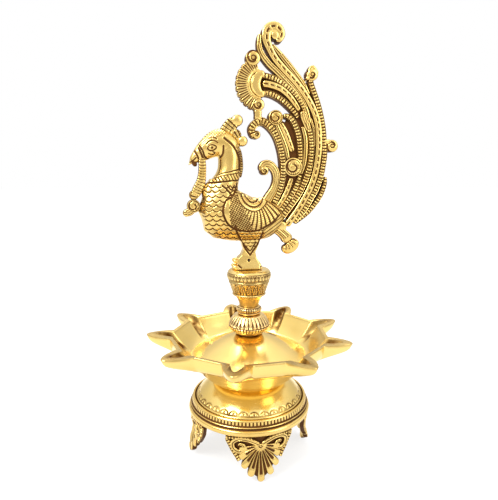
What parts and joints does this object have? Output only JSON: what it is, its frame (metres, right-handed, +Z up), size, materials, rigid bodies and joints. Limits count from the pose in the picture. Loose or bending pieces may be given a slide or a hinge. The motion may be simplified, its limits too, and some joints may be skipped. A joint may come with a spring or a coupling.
{
  "type": "standing oil lamp",
  "caption": "Standing brass oil lamp with openwork feet, a domed pedestal, a star-shaped wick dish, a turned stem and a peacock finial.",
  "frame": {"origin": "on the lamp's axis, at the level of the surface that the feet stand on", "axes": "+Z up the lamp's axis; the peacock lies in the XZ plane and looks towards -X; its shown side faces -Y"},
  "size_m": [0.1998, 0.1981, 0.4116],
  "materials": {
    "polished_brass": "mirror polished",
    "turned_brass": "polished, dark patina in the grooves",
    "antique_brass": "cast relief, dark patina in the recesses and polished on the high spots",
    "screw_steel": "machined"
  },
  "bodies": {
    "base": {"foot_front": "antique_brass", "foot_right": "antique_brass", "foot_back": "antique_brass", "foot_left": "antique_brass", "foot_screw_front": "screw_steel", "foot_screw_right": "screw_steel", "foot_screw_back": "screw_steel", "foot_screw_left": "screw_steel", "base_ring": "turned_brass", "pedestal_dome": "polished_brass"},
    "dish_thread": {"dish_stud": "screw_steel"},
    "dish": {"dish": "polished_brass"},
    "stem_thread": {"stem_stud": "screw_steel"},
    "stem": {"lotus_collar": "antique_brass", "bead_ring": "antique_brass", "stem_urn": "antique_brass"},
    "finial_thread": {"finial_stud": "screw_steel"},
    "finial": {"peacock_body": "antique_brass", "finial_pin": "screw_steel", "peacock_tail": "antique_brass", "tail_peg": "antique_brass", "peacock_crest": "antique_brass", "beak_garland": "antique_brass"}
  },
  "joints": [
    {"name": "dish_lift", "type": "slide", "parent": "base", "child": "dish_thread", "axis": [0, 0, 1], "range_m": [0, 0.01001]},
    {"name": "dish_turn", "type": "hinge", "parent": "dish_thread", "child": "dish", "pos_m": [0, 0, 0.0753], "axis": [0, 0, 1], "range_deg": [0, 2880]},
    {"name": "stem_lift", "type": "slide", "parent": "dish", "child": "stem_thread", "axis": [0, 0, 1], "range_m": [0, 0.01001]},
    {"name": "stem_turn", "type": "hinge", "parent": "stem_thread", "child": "stem", "pos_m": [0, 0, 0.1208], "axis": [0, 0, 1], "range_deg": [0, 2880]},
    {"name": "finial_lift", "type": "slide", "parent": "stem", "child": "finial_thread", "axis": [0, 0, 1], "range_m": [0, 0.01001]},
    {"name": "finial_turn", "type": "hinge", "parent": "finial_thread", "child": "finial", "pos_m": [0, 0, 0.1865], "axis": [0, 0, 1], "range_deg": [0, 2880]}
  ],
  "couplings": [
    {"joint": "dish_lift", "follows": "dish_turn", "m_per_rad": 0.00019894},
    {"joint": "stem_lift", "follows": "stem_turn", "m_per_rad": 0.00019894},
    {"joint": "finial_lift", "follows": "finial_turn", "m_per_rad": 0.00019894}
  ]
}
